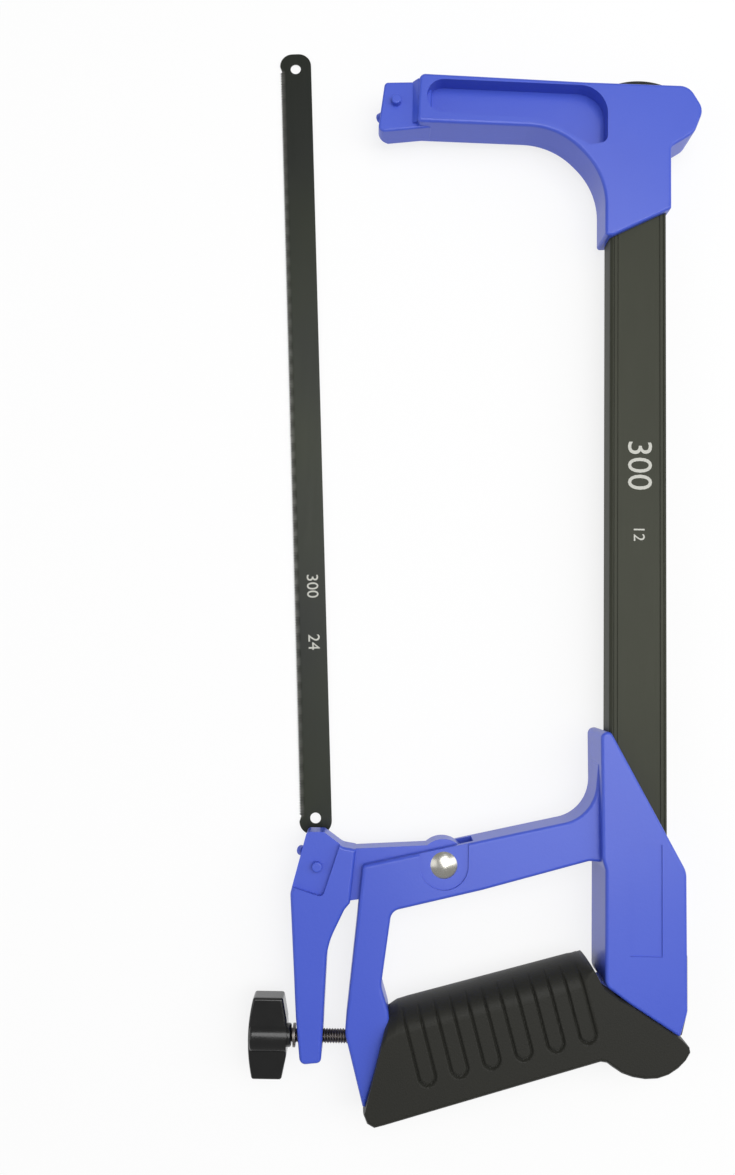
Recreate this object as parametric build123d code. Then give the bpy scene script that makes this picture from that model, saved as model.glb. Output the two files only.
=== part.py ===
from build123d import *
import os
from math import radians

# High-tension hacksaw lying flat: +X runs from the blade side to the back of the
# spine, +Y from the handle to the front arm, +Z is the thickness of the saw.
# The outlines are drawn from the spine's centre line (x), the lever pivot (y) and
# the mid-plane (z); save() moves every piece to the bottom centre of the whole saw.

# ---- spine ---------------------------------------------------------------------
TUBE_WIDTH = 21.6
TUBE_THICK = 11.0
TUBE_WALL = 1.6
TUBE_CORNER = 1.4
TUBE_TOP = 288.0              # end hidden in the front arm
TUBE_BOTTOM = -38.0           # end hidden in the handle
TUBE_FIT = 0.05               # socket clearance on each side of the tube
GROOVE = 0.5
GROOVE_DEPTH = 0.35

# ---- castings ------------------------------------------------------------------
ARM_HALF = 8.0                # half thickness of the front arm
ARM_LEFT_WALL = 2.4
ARM_RIGHT_WALL = 1.3
WEB = 3.0                     # web left between two facing pockets
EDGE = 1.2                    # rounding of cast edges
BACK_HALF = 12.0              # half thickness of the back post
FRONT_HALF = 8.0              # half thickness of fork, bridge and front post
BACK_WIDTH_LEFT = 13.6
BACK_WIDTH_RIGHT = 15.9
PANEL_DEPTH = 0.5

# ---- lever and its pivot -------------------------------------------------------
PIVOT_X = -72.0
TONGUE_HALF = 4.4
SLOT_CLEARANCE = 0.4
TONGUE_RADIUS = 9.0
LEVER_HALF = 6.5
RIVET_RADIUS = 3.6
RIVET_FIT = 0.06
RIVET_HEAD_RADIUS = 4.95
RIVET_HEAD_HEIGHT = 1.7
BUSH_WALL = 1.5
RECESS_RADIUS = 9.0
RECESS_DEPTH = 0.8
WASHER_THICK = 0.5
SEAT_DROP = 2.2               # blade seats lie this far under the lug's face
RAMP_WIDTH = 2.0

# ---- blade and its pins --------------------------------------------------------
PIN_RADIUS = 1.9
PIN_SHANK = 1.4               # pressed into the lug
PIN_PROUD = 2.4
PIN_SUNK = 4.0
PIN_45_PROUD = 2.4
PIN_ROUND = 0.5
FRONT_PIN = (-93.7, TUBE_TOP + 3.2)
REAR_PIN = (-118.7, -1.7)
FRONT_PIN_45 = (-98.6, TUBE_TOP + 1.5)
REAR_PIN_45 = (-124.1, 2.2)
CHAMFER_45 = 2.6              # flat on the lug's far left corner that carries the 45 degree pin
BLADE_HOLES = 300.0           # between hole centres
BLADE_END = 6.2               # from a hole's centre to the end
BLADE_WIDTH = 12.5
BLADE_THICK = 0.65
BLADE_CORNER = 5.0
BLADE_HOLE_RADIUS = 2.1
BLADE_CENTRE = (-127.4, 163.1)
BLADE_TILT = 2.67             # degrees off the spine's line

# ---- tension screw -------------------------------------------------------------
SCREW_Y = -64.4
SCREW_RADIUS = 2.6
SCREW_RUN = 0.4               # clearance round the screw in the lever and the post
SCREW_START = -134.0
SCREW_END = -98.5
THREAD_FIT = 0.08
NUT_ACROSS = 10.0
NUT_LENGTH = 5.0
NUT_X = -101.4                # outer face of the captive nut
NUT_FIT = 0.05
SCREW_FEED = 7.0              # travel of the screw from rest to fully tight
LEVER_SWING = 7.0             # degrees that the lever turns when tightened
LEVER_BACK = 1.4              # degrees that it falls back when slackened
KNOB_OUTER = -143.0
KNOB_SPAN = 29.2
KNOB_THICK = 9.0
KNOB_TIP_INSET = 1.7          # wing tips start this far in from the domed outer face
KNOB_TIP_LENGTH = 10.9
KNOB_HUB = 6.4
KNOB_BOSS = 4.2
KNOB_BOSS_END = -127.2
KNOB_EDGE = 1.0
THRUST_X = -126.6             # outer face of the washer between knob and lever
THRUST_THICK = 0.9
THRUST_RADIUS = 4.2

# ---- rubber --------------------------------------------------------------------
GRIP_PROUD = 0.4              # the rubber stands this far over the castings
GRIP_HALF = BACK_HALF + GRIP_PROUD
CORE_HALF = 5.0
CORE_DEPTH = 20.0             # height of the casting's bar inside the grip
STRAP_HALF = 7.0
STRAP_PROUD = 1.6
STRAP_SUNK = 1.4
PAD_LENGTH = 22.0
PAD_HALF = 6.0
PAD_SEAT = TUBE_TOP + 9.7     # line of the arm's upper edge under the pad
PAD_SUNK = 1.6
PAD_PROUD = 2.2

# ---- cross rivets through tube and castings --------------------------------------
CROSS_RADIUS = 2.0
FRONT_CROSS_Y = (TUBE_TOP - 32.0, TUBE_TOP - 12.0)
REAR_CROSS_Y = (22.0, -18.0)

STAND_Z = -BACK_HALF
NEAR = 0.001                  # tolerance when edges are picked by their place
PIECES = {}


def outline(points):
    """Closed face through (x, y, corner radius) points."""
    line = FilletPolyline(
        [(x, y) for x, y, _ in points],
        radius=[r for _, _, r in points],
        close=True,
    )
    return make_face(line)


def edges_at(solid, axis, place):
    """Edges that lie in one plane square to an axis."""
    return solid.edges().filter_by_position(axis, place - NEAR, place + NEAR)


def plate(points, low, high, rounding=0.0):
    """Plate between two heights, with its rims rounded."""
    solid = extrude(Pos(0, 0, low) * outline(points), high - low)
    if rounding > 0:
        rims = edges_at(solid, Axis.Z, low) + edges_at(solid, Axis.Z, high)
        solid = fillet(rims, rounding)
    return solid


def slab(x0, x1, y0, y1, z0, z1):
    centre = ((x0 + x1) / 2, (y0 + y1) / 2, (z0 + z1) / 2)
    return Pos(*centre) * Box(x1 - x0, y1 - y0, z1 - z0)


def rod_x(y, z, radius, x0, x1):
    return Pos((x0 + x1) / 2, y, z) * Rot(0, 90, 0) * Cylinder(radius, x1 - x0)


def rod_z(x, y, radius, z0, z1):
    return Pos(x, y, (z0 + z1) / 2) * Cylinder(radius, z1 - z0)


def tube_hole():
    half_x = TUBE_WIDTH / 2 + TUBE_FIT
    half_z = TUBE_THICK / 2 + TUBE_FIT
    hole = slab(-half_x, half_x, TUBE_BOTTOM - TUBE_FIT, TUBE_TOP + TUBE_FIT, -half_z, half_z)
    return fillet(hole.edges().filter_by(Axis.Y), TUBE_CORNER)


def cross_rivet(y, depth):
    """Flush rivet from the far face through the casting and the tube's far wall."""
    return rod_z(0, y, CROSS_RADIUS, -depth, -TUBE_THICK / 2 + TUBE_WALL + 1.0)


# ---- spine ---------------------------------------------------------------------
def spine_tube():
    half_x = TUBE_WIDTH / 2
    half_z = TUBE_THICK / 2
    outer = slab(-half_x, half_x, TUBE_BOTTOM, TUBE_TOP, -half_z, half_z)
    outer = fillet(outer.edges().filter_by(Axis.Y), TUBE_CORNER)
    inner_x = half_x - TUBE_WALL
    inner_z = half_z - TUBE_WALL
    tube = outer - slab(-inner_x, inner_x, TUBE_BOTTOM - 1, TUBE_TOP + 1, -inner_z, inner_z)
    for side in (-1, 1):
        for offset in (TUBE_CORNER, TUBE_CORNER + 1.4):
            x = side * (half_x - offset)
            x0 = x - GROOVE / 2
            x1 = x + GROOVE / 2
            tube -= slab(x0, x1, TUBE_BOTTOM - 1, TUBE_TOP + 1, half_z - GROOVE_DEPTH, half_z + 1)
    for y in FRONT_CROSS_Y + REAR_CROSS_Y:
        tube -= rod_z(0, y, CROSS_RADIUS, -TUBE_THICK, 0)
    return tube


def tube_plug(end, inward):
    """Moulded plug just inside one end of the tube."""
    fit = 0.1
    half_x = TUBE_WIDTH / 2 - TUBE_WALL - fit
    half_z = TUBE_THICK / 2 - TUBE_WALL - fit
    low = min(end, end + 6 * inward)
    return slab(-half_x, half_x, low, low + 6, -half_z, half_z)


# ---- front arm -----------------------------------------------------------------
def at_tube_end(points):
    """The front arm's outlines start from the upper end of the spine."""
    return [(x, TUBE_TOP + y, radius) for x, y, radius in points]


def arm_points():
    left = -TUBE_WIDTH / 2 - ARM_LEFT_WALL
    right = TUBE_WIDTH / 2 + ARM_RIGHT_WALL
    return [
        (-85.0, 12.9, 2.4),
        (-85.6, -6.4, 1.5),
        (left - 18.0, -7.8, 29.0),
        (left, -26.0, 29.0),
        (left, -50.0, 1.2),
        (left + 3.2, -49.8, 1.2),
        (right, -39.0, 1.2),
        (right, -14.6, 2.5),
        (21.0, -9.0, 6.0),
        (24.6, 0.4, 6.0),
        (19.0, 9.6, 6.5),
        (-20.0, 10.4, 3.0),
    ]


def lug_points():
    return [
        (-98.3, 11.0, 1.6),
        (-100.8, -9.0, 2.4),
        (-80.0, -6.7, 0.5),
        (-80.0, 11.6, 0.5),
    ]


def trough_points():
    left = -TUBE_WIDTH / 2 - ARM_LEFT_WALL
    return [
        (-82.0, 10.6, 6.4),
        (-82.0, -2.4, 6.2),
        (-36.0, -4.8, 30.0),
        (left - 6.0, -14.6, 2.2),
        (left + 0.8, -13.4, 3.0),
        (left + 0.8, 8.6, 11.0),
    ]


def pin_90(place):
    x, y = place
    face = LEVER_HALF - SEAT_DROP
    pin = fillet(rod_z(x, y, PIN_RADIUS, face, face + PIN_PROUD).edges().sort_by(Axis.Z)[-1], PIN_ROUND)
    return pin + rod_z(x, y, PIN_SHANK, face - PIN_SUNK, face)


def pin_45(place):
    """Pin square to the 45 degree seat, pointing away from the spine and down."""
    x, y = place
    pin = fillet(rod_z(0, 0, PIN_RADIUS, 0, PIN_45_PROUD).edges().sort_by(Axis.Z)[-1], PIN_ROUND)
    pin += rod_z(0, 0, PIN_SHANK, -PIN_SUNK, 0)
    return Pos(x, y, -LEVER_HALF + CHAMFER_45) * Rot(0, -135, 0) * pin


def seat_45_cut(place):
    """Half space outside the 45 degree seat, limited to the lug."""
    x, y = place
    block = Pos(0, 0, 15) * Box(30, 26, 30)
    return Pos(x, y, -LEVER_HALF + CHAMFER_45) * Rot(0, -135, 0) * block


def lug_ramp():
    """Sloping shoulder between the lug's seat and the arm's face."""
    seat = LEVER_HALF - SEAT_DROP
    corners = [(-84.0, seat), (-85.4 - RAMP_WIDTH, seat), (-85.4, ARM_HALF - EDGE), (-84.0, ARM_HALF - EDGE)]
    profile = make_face(Polyline(*corners, close=True))
    return Pos(0, TUBE_TOP + 11.2, 0) * Rot(90, 0, 0) * extrude(profile, 16.6)


def front_arm():
    arm = plate(at_tube_end(arm_points()), -ARM_HALF, ARM_HALF, EDGE)
    for side in (-1, 1):
        near = side * WEB / 2
        far = side * (ARM_HALF + 1)
        arm -= plate(at_tube_end(trough_points()), min(near, far), max(near, far))
    lug = plate(at_tube_end(lug_points()), -LEVER_HALF, LEVER_HALF - SEAT_DROP, 0.8)
    lug -= seat_45_cut(FRONT_PIN_45)
    arm = arm + lug + lug_ramp()
    arm -= tube_hole()
    arm -= pad_block(PAD_SEAT + 3 * PAD_PROUD)
    for y in FRONT_CROSS_Y:
        arm -= cross_rivet(y, ARM_HALF + 1)
    arm -= pin_90(FRONT_PIN)
    arm -= pin_45(FRONT_PIN_45)
    return arm


def pad_block(top):
    """Pad with a crowned top: an arc through both ends and the middle."""
    half = PAD_LENGTH / 2
    low = PAD_SEAT - PAD_SUNK
    crown = ThreePointArc((-half, PAD_SEAT), (0, top), (half, PAD_SEAT))
    sides = Polyline((half, PAD_SEAT), (half, low), (-half, low), (-half, PAD_SEAT))
    face = make_face(crown + sides)
    return extrude(Pos(0, 0, -PAD_HALF) * face, 2 * PAD_HALF)


def thumb_pad():
    return pad_block(PAD_SEAT + PAD_PROUD)


# ---- handle --------------------------------------------------------------------
def back_points():
    return [
        (-15.4, 50.0, 2.4),
        (-BACK_WIDTH_LEFT - 1.2, 4.0, 3.0),
        (-BACK_WIDTH_LEFT, 0.0, 3.0),
        (-BACK_WIDTH_LEFT, -41.0, 4.0),
        (-5.0, -47.2, 6.0),
        (13.4, -58.8, 0.8),
        (BACK_WIDTH_RIGHT + 0.2, -50.0, 8.0),
        (BACK_WIDTH_RIGHT, 0.0, 8.0),
        (-11.6, 50.0, 2.0),
    ]


def front_points():
    return [
        (-101.8, -0.6, 1.5),
        (-107.4, -60.6, 14.0),
        (-100.0, -88.4, 0.6),
        (-90.8, -58.6, 0.6),
        (-91.6, -53.0, 1.2),
        (-94.4, -43.6, 8.0),
        (-91.0, -16.9, 4.0),
        (-58.0, -8.8, 6.0),
        (-18.6, 2.4, 2.0),
        (-12.0, 2.0, 0.5),
        (-12.0, 38.0, 0.5),
        (-15.4, 38.0, 0.6),
        (-17.0, 18.6, 15.0),
        (-33.0, 15.0, 10.0),
    ]


def core_points():
    """Bar of the casting inside the grip, from the front post to the back post."""
    slope = 0.275
    x0, x1 = -92.0, -6.0
    y0, y1 = -73.0, -73.0 + slope * (x1 - x0)
    half = CORE_DEPTH / 2
    return [(x0, y0 + half, 1.0), (x0, y0 - half, 1.0), (x1, y1 - half, 1.0), (x1, y1 + half, 1.0)]


def u_recess(side):
    """Shallow recess round the rivet, open to the fork's upper edge."""
    face = side * FRONT_HALF
    low, high = sorted((face - side * RECESS_DEPTH, face + side))
    round_part = rod_z(PIVOT_X, 0, RECESS_RADIUS, low, high)
    return round_part + slab(PIVOT_X - RECESS_RADIUS, PIVOT_X + RECESS_RADIUS, 0, 16, low, high)


def fork_slot():
    """Slot between the cheeks: it clears the tongue at rest and when fully swung."""
    half = TONGUE_HALF + SLOT_CLEARANCE
    right = PIVOT_X + TONGUE_RADIUS + 2.0
    under = -TONGUE_RADIUS - 0.9
    return plate([
        (-112.0, 16.0, 0),
        (-112.0, -20.5, 0),
        (-84.0, under - 3.0, 0),
        (PIVOT_X, under, 0),
        (right, under + 2.9, 0),
        (right, 16.0, 0),
    ], -half, half)


def screw_bore():
    """Blind hole for the screw through the front post, with room for its whole feed."""
    return rod_x(SCREW_Y, 0, SCREW_RADIUS + SCREW_RUN, -112, SCREW_END + SCREW_FEED + 2.0)


def rivet_hole():
    return rod_z(PIVOT_X, 0, RIVET_RADIUS, -FRONT_HALF - 2, FRONT_HALF + 2)


def nut_block(fit):
    """Hexagonal prism of the captive nut, lying along the screw."""
    prism = extrude(RegularPolygon((NUT_ACROSS / 2) + fit, 6, major_radius=False), NUT_LENGTH)
    return Pos(NUT_X, SCREW_Y, 0) * Rot(0, 90, 0) * prism


def handle_casting():
    casting = plate(front_points(), -FRONT_HALF, FRONT_HALF, EDGE)
    casting += plate(core_points(), -CORE_HALF, CORE_HALF)
    casting += plate(back_points(), -BACK_HALF, BACK_HALF, EDGE)
    casting -= tube_hole()
    casting -= fork_slot()
    casting -= rivet_hole()
    for side in (-1, 1):
        casting -= u_recess(side)
    low = BACK_HALF - PANEL_DEPTH
    casting -= slab(-4.7, 6.9, -30.4, 9.6, low, BACK_HALF + 1)
    casting -= screw_bore()
    casting -= nut_block(0)
    for y in REAR_CROSS_Y:
        casting -= cross_rivet(y, BACK_HALF + 1)
    casting -= back_strap()
    return casting


def captive_nut():
    thread = rod_x(SCREW_Y, 0, SCREW_RADIUS + THREAD_FIT, NUT_X - 1, NUT_X + NUT_LENGTH + 1)
    return nut_block(-NUT_FIT) - thread


def back_strap():
    x = BACK_WIDTH_RIGHT
    points = [
        (x - STRAP_SUNK, -26.0, 0.5),
        (x - STRAP_SUNK, -52.0, 4.0),
        (x - 4.0, -59.0, 0.5),
        (x - 0.6, -60.0, 0.8),
        (x + STRAP_PROUD, -51.0, 4.0),
        (x + STRAP_PROUD, -31.0, 3.0),
    ]
    return plate(points, -STRAP_HALF, STRAP_HALF, 0.3)


# ---- grip ----------------------------------------------------------------------
def grip_points():
    return [
        (-92.4, -55.0, 1.2),
        (-85.8, -50.7, 6.0),
        (-24.6, -33.6, 3.0),
        (-17.6, -33.4, 1.0),
        (-13.4, -42.4, 3.0),
        (-4.6, -47.4, 6.0),
        (13.6, -59.2, 0.6),
        (18.8, -64.8, 2.0),
        (10.0, -76.0, 8.0),
        (-6.0, -76.2, 6.0),
        (-13.0, -69.0, 3.0),
        (-94.4, -93.6, 1.0),
        (-97.6, -94.2, 1.4),
        (-100.4, -89.6, 0.5),
        (-91.1, -59.6, 0.5),
    ]


def grip_sleeve(casting):
    grip = plate(grip_points(), -BACK_HALF, GRIP_HALF)
    grip = chamfer(edges_at(grip, Axis.Z, GRIP_HALF), GRIP_PROUD)
    return grip - casting - back_strap() - screw_bore()


# ---- lever ---------------------------------------------------------------------
def lever_points():
    return [
        (-122.8, 10.8, 1.6),
        (-128.4, -11.4, 5.0),
        (-125.4, -56.0, 20.0),
        (-123.6, -72.9, 2.2),
        (-115.9, -72.1, 1.8),
        (-114.4, -30.0, 28.0),
        (-108.4, -17.2, 2.0),
        (-106.3, -14.6, 0.5),
        (-104.4, 5.0, 0.5),
        (-109.4, 5.8, 5.0),
        (-116.4, 10.8, 1.6),
    ]


def tongue_face():
    """Bar from the lever's shoulder that closes round the pivot."""
    bar = outline([(-108.0, 4.8, 0), (-108.0, -14.2, 0), (PIVOT_X, -TONGUE_RADIUS, 0), (PIVOT_X, 7.0, 0)])
    return bar + Pos(PIVOT_X, 0) * Circle(TONGUE_RADIUS)


def seat_points():
    return [
        (-130.0, -8.4, 0.5),
        (-116.4, -12.6, 2.0),
        (-108.6, 12.0, 0.5),
        (-128.0, 12.0, 0.5),
    ]


def screw_slot():
    """Slot that lets the lever swing while the screw stays straight."""
    arm = PIVOT_X - THRUST_X
    radius = SCREW_RADIUS + SCREW_RUN
    bottom = SCREW_Y - radians(LEVER_BACK) * arm
    top = SCREW_Y + radians(LEVER_SWING) * arm
    slot = slab(-131, -110, bottom, top, -radius, radius)
    slot += rod_x(bottom, 0, radius, -131, -110)
    return slot + rod_x(top, 0, radius, -131, -110)


def bush_hole():
    return rod_z(PIVOT_X, 0, RIVET_RADIUS + BUSH_WALL, -TONGUE_HALF - 1, TONGUE_HALF + 1)


def tension_lever():
    lever = plate(lever_points(), -LEVER_HALF, LEVER_HALF, EDGE)
    lever += extrude(Pos(0, 0, -TONGUE_HALF) * tongue_face(), 2 * TONGUE_HALF)
    lever -= plate(seat_points(), LEVER_HALF - SEAT_DROP, LEVER_HALF + 2)
    lever -= seat_45_cut(REAR_PIN_45)
    lever -= screw_slot()
    lever -= bush_hole()
    lever -= pin_90(REAR_PIN)
    lever -= pin_45(REAR_PIN_45)
    return lever


def lever_bush():
    outer = rod_z(PIVOT_X, 0, RIVET_RADIUS + BUSH_WALL, -TONGUE_HALF - 0.1, TONGUE_HALF + 0.1)
    return outer - rod_z(PIVOT_X, 0, RIVET_RADIUS + RIVET_FIT, -TONGUE_HALF - 1, TONGUE_HALF + 1)


def rivet_head(side, lift):
    """Low dome on the floor of a recess."""
    face = FRONT_HALF - RECESS_DEPTH + lift
    height = RIVET_HEAD_HEIGHT
    ball = (RIVET_HEAD_RADIUS ** 2 + height ** 2) / (2 * height)
    dome = Sphere(ball) & Pos(0, 0, ball) * Box(4 * ball, 4 * ball, 2 * height)
    dome = Pos(PIVOT_X, 0, face + height - ball) * dome
    return dome if side > 0 else mirror(dome, Plane.XY)


def pivot_rivet():
    face = FRONT_HALF - RECESS_DEPTH
    rivet = rod_z(PIVOT_X, 0, RIVET_RADIUS, -face - WASHER_THICK, face)
    rivet += rivet_head(1, 0)
    return rivet + rivet_head(-1, WASHER_THICK)


def rivet_washer():
    face = FRONT_HALF - RECESS_DEPTH
    washer = rod_z(PIVOT_X, 0, RIVET_HEAD_RADIUS + 1.6, -face - WASHER_THICK, -face)
    return washer - rivet_hole()


# ---- screw and knob --------------------------------------------------------------
def tension_screw():
    screw = rod_x(SCREW_Y, 0, SCREW_RADIUS, SCREW_START, SCREW_END)
    return chamfer(screw.edges().sort_by(Axis.X)[-1], 0.6)


def knob_wings():
    """Two flat wings under a domed outer face, seen square to them."""
    half = KNOB_SPAN / 2
    tip_x = KNOB_OUTER + KNOB_TIP_INSET
    root_x = KNOB_BOSS_END - 1.6
    back_x = tip_x + KNOB_TIP_LENGTH
    dome = ThreePointArc((tip_x, -half), (KNOB_OUTER, 0), (tip_x, half))
    upper = [(tip_x, half), (back_x, half), (root_x, KNOB_HUB)]
    lower = [(root_x, -KNOB_HUB), (back_x, -half), (tip_x, -half)]
    face = make_face(dome + Polyline(*upper, *lower))
    blank = extrude(Pos(0, 0, -KNOB_THICK / 2) * face, KNOB_THICK)
    return fillet(blank.edges(), KNOB_EDGE)


def wing_knob():
    low = KNOB_OUTER + 0.6
    hub = rod_x(0, 0, KNOB_HUB, low, KNOB_BOSS_END - 1.6)
    hub = fillet(hub.edges().sort_by(Axis.X)[0], KNOB_EDGE)
    boss = rod_x(0, 0, KNOB_BOSS, KNOB_BOSS_END - 2.0, KNOB_BOSS_END)
    boss = fillet(boss.edges().sort_by(Axis.X)[-1], 0.8)
    return Pos(0, SCREW_Y, 0) * (knob_wings() + hub + boss) - tension_screw()


def thrust_washer():
    end = THRUST_X + THRUST_THICK
    washer = rod_x(SCREW_Y, 0, THRUST_RADIUS, THRUST_X, end)
    return washer - rod_x(SCREW_Y, 0, SCREW_RADIUS + THREAD_FIT, THRUST_X - 1, end + 1)


# ---- loose blade -----------------------------------------------------------------
def blade():
    length = BLADE_HOLES + 2 * BLADE_END
    low = STAND_Z
    face = RectangleRounded(BLADE_WIDTH, length, BLADE_CORNER)
    strip = extrude(face, BLADE_THICK)
    for side in (-1, 1):
        strip -= Pos(0, side * BLADE_HOLES / 2, 0) * Cylinder(BLADE_HOLE_RADIUS, 4)
    x, y = BLADE_CENTRE
    return Pos(x, y, low) * Rot(0, 0, BLADE_TILT) * strip


# ---- all pieces ------------------------------------------------------------------
def build():
    casting = handle_casting()
    PIECES["spine_tube"] = spine_tube()
    PIECES["front_tube_plug"] = tube_plug(TUBE_TOP, -1)
    PIECES["rear_tube_plug"] = tube_plug(TUBE_BOTTOM, 1)
    PIECES["front_arm"] = front_arm()
    PIECES["front_thumb_pad"] = thumb_pad()
    PIECES["handle_casting"] = casting
    PIECES["grip_sleeve"] = grip_sleeve(casting)
    PIECES["back_strap"] = back_strap()
    PIECES["captive_nut"] = captive_nut()
    PIECES["pivot_rivet"] = pivot_rivet()
    PIECES["rivet_washer"] = rivet_washer()
    PIECES["front_pin_90"] = pin_90(FRONT_PIN)
    PIECES["front_pin_45"] = pin_45(FRONT_PIN_45)
    for number, y in enumerate(FRONT_CROSS_Y, 1):
        PIECES[f"front_cross_rivet_{number}"] = cross_rivet(y, ARM_HALF)
    for number, y in enumerate(REAR_CROSS_Y, 1):
        PIECES[f"rear_cross_rivet_{number}"] = cross_rivet(y, BACK_HALF)
    PIECES["tension_lever"] = tension_lever()
    PIECES["lever_bush"] = lever_bush()
    PIECES["rear_pin_90"] = pin_90(REAR_PIN)
    PIECES["rear_pin_45"] = pin_45(REAR_PIN_45)
    PIECES["thrust_washer"] = thrust_washer()
    PIECES["tension_screw"] = tension_screw()
    PIECES["wing_knob"] = wing_knob()
    PIECES["blade"] = blade()


def save():
    """Write every piece with the origin at the bottom centre of the whole saw."""
    os.makedirs("parts", exist_ok=True)
    boxes = [piece.bounding_box() for piece in PIECES.values()]
    low_x = min(box.min.X for box in boxes)
    high_x = max(box.max.X for box in boxes)
    low_y = min(box.min.Y for box in boxes)
    high_y = max(box.max.Y for box in boxes)
    low_z = min(box.min.Z for box in boxes)
    shift = Pos(-(low_x + high_x) / 2, -(low_y + high_y) / 2, -low_z)
    print("shift", round(-(low_x + high_x) / 2, 4), round(-(low_y + high_y) / 2, 4), round(-low_z, 4))
    for name, piece in PIECES.items():
        export_step(shift * piece, f"parts/{name}.step")


build()
save()
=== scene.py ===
from math import cos, pi, radians, sin

import bmesh
import bpy
import numpy as np
from mathutils import Matrix, Vector


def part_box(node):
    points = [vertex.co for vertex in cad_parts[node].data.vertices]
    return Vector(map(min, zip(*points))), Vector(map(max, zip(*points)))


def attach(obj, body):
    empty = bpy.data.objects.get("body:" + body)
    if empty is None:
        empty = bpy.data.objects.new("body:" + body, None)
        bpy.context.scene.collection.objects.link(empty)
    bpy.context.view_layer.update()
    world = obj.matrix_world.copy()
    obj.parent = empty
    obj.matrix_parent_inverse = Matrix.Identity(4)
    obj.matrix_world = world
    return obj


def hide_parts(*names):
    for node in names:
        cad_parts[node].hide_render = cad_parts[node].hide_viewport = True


bl_info = {
    "name": "Hacksaw",
    "version": (1, 0, 0),
    "blender": (4, 5, 0),
    "location": "View3D > Sidebar > Hacksaw",
    "description": "Dresses the packed hacksaw with its grip, blade, screw, finishes and studio",
    "category": "Object",
}

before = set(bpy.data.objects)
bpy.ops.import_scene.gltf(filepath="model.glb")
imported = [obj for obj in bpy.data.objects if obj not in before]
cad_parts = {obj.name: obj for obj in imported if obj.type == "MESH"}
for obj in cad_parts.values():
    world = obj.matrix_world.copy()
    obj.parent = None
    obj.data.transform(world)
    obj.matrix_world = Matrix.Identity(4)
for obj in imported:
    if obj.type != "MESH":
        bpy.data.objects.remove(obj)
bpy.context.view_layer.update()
MM = 0.001

# The drawing frame: x from the spine's centre line, y from the lever pivot, z from the mid-plane.
TUBE_LOW, TUBE_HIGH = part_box("spine_tube")
RIVET_LOW, RIVET_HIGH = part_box("rivet_washer")
ORIGIN = np.array([
    (TUBE_LOW.x + TUBE_HIGH.x) / 2,
    (RIVET_LOW.y + RIVET_HIGH.y) / 2,
    (TUBE_LOW.z + TUBE_HIGH.z) / 2,
])


def place(points):
    """Points in millimetres of the drawing frame, moved into the row frame in metres."""
    return np.asarray(points, float) * MM + ORIGIN


# ---- sizes and colours a user may change ---------------------------------------------
def length(name, description, default):
    return bpy.props.FloatProperty(
        name=name, description=description, default=default * MM, min=0.0, unit="LENGTH", precision=5
    )


def colour(name, description, default):
    return bpy.props.FloatVectorProperty(
        name=name, description=description, default=default, size=3, min=0.0, max=1.0, subtype="COLOR"
    )


def part_of_one(name, description, default):
    return bpy.props.FloatProperty(
        name=name, description=description, default=default, min=0.0, max=1.0, subtype="FACTOR"
    )


class GripSizes(bpy.types.PropertyGroup):
    half_thickness: length("Half thickness", "From the mid-plane to the grip's flat side", 12.35)
    palm_round: length("Palm rounding", "How far the upper edge rolls over", 8.5)
    belly_round: length("Belly rounding", "How far the lower edge rolls over", 3.2)
    rib_count: bpy.props.IntProperty(
        name="Ribs",
        description="Raised ribs across the grip, each with a groove round it",
        default=6,
        min=1,
        max=12,
    )
    groove_pitch: length("Groove pitch", "From one groove to the next along the grip", 5.96)
    groove_depth: length("Groove depth", "Depth of each groove", 0.85)
    groove_width: length("Groove width", "Half width of each groove", 0.72)


class BladeSizes(bpy.types.PropertyGroup):
    teeth_per_inch: bpy.props.FloatProperty(
        name="Teeth per inch", description="Fineness of the blade", default=24.0, min=8.0, max=36.0
    )
    tooth_depth: length("Tooth depth", "From a tooth's tip to its gullet", 0.75)
    set_width: length("Set", "How far the wavy set leans to each side", 0.22)
    set_wave: length("Set wave", "Length of one wave of the set", 6.3)


class ScrewSizes(bpy.types.PropertyGroup):
    pitch: length("Pitch", "Advance for one turn", 1.0)
    thread_depth: length("Thread depth", "From the thread's crest to its root", 0.5)


class Finishes(bpy.types.PropertyGroup):
    paint: colour("Paint", "Powder coat of the castings", (0.058, 0.107, 0.600))
    paint_deep: colour("Paint in hollows", "Where the coat lies thick", (0.040, 0.080, 0.540))
    tube: colour("Spine", "Dark anodised extrusion", (0.030, 0.032, 0.021))
    rubber: colour("Rubber", "Grip, strap and thumb pad", (0.011, 0.011, 0.008))
    zinc: colour("Zinc", "Plated rivets and pins", (0.62, 0.60, 0.50))
    dark_steel: colour("Dark steel", "Oiled screw and nut", (0.11, 0.10, 0.095))
    knob: colour("Knob", "Glossy moulded knob", (0.003, 0.003, 0.003))
    blade: colour("Blade", "Dark lacquer", (0.010, 0.012, 0.009))
    blade_tint: colour("Blade tint", "Greenish bloom on the lacquer", (0.024, 0.030, 0.011))
    tooth: colour("Teeth", "Bare steel on the set teeth", (0.12, 0.12, 0.11))
    print_white: colour("Marks", "Plain pale size marks", (0.55, 0.55, 0.50))
    floor: colour("Floor", "Pale studio floor", (0.92, 0.92, 0.92))
    wear: part_of_one("Wear", "How far edges are rubbed", 0.35)


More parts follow.
